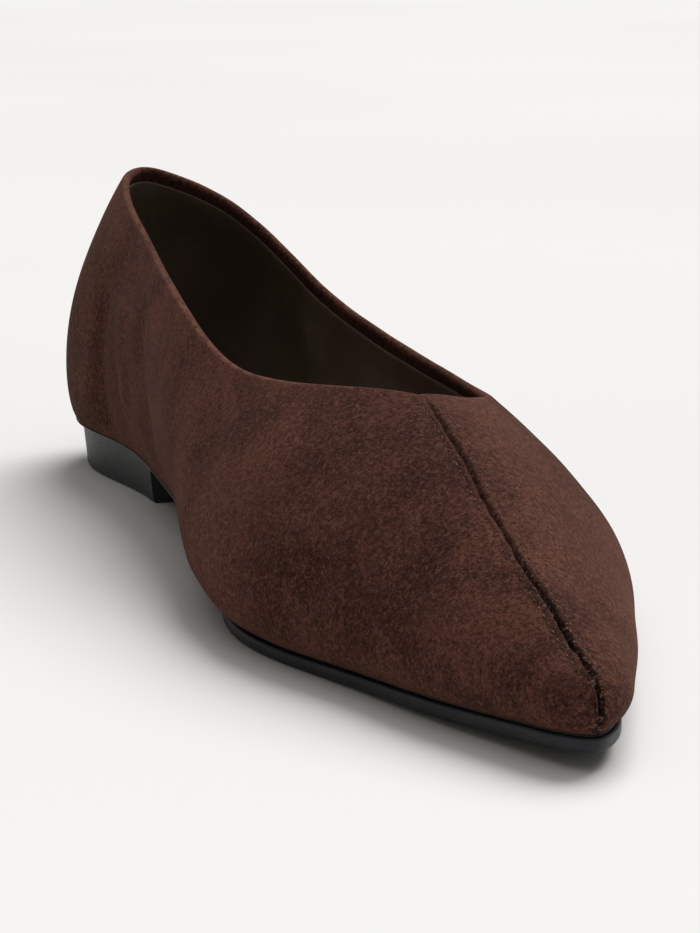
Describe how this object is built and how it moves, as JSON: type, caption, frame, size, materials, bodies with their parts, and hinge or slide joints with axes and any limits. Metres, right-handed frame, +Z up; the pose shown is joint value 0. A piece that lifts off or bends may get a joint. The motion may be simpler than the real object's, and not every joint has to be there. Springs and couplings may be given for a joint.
{
  "type": "pointed toe flat shoe",
  "caption": "Left pointed toe flat shoe in suede with a closed front seam, skewed low collar, insole, thin outsole with toe spring and a low heel block.",
  "frame": {"origin": "middle of the shoe's plan box on the floor, under the sole", "axes": "+Y from the toe to the heel, +X to the lateral (outer) side of the left foot, +Z up"},
  "size_m": [0.0812, 0.2658, 0.0696],
  "materials": {
    "suede": "napped suede, dark brown",
    "outsole_rubber": "satin, near black",
    "heel_rubber": "satin, dark grey",
    "insole_leather": "smooth, dark brown"
  },
  "bodies": {
    "root": {"upper": "suede", "outsole": "outsole_rubber", "heel": "heel_rubber", "insole": "insole_leather"}
  },
  "joints": []
}
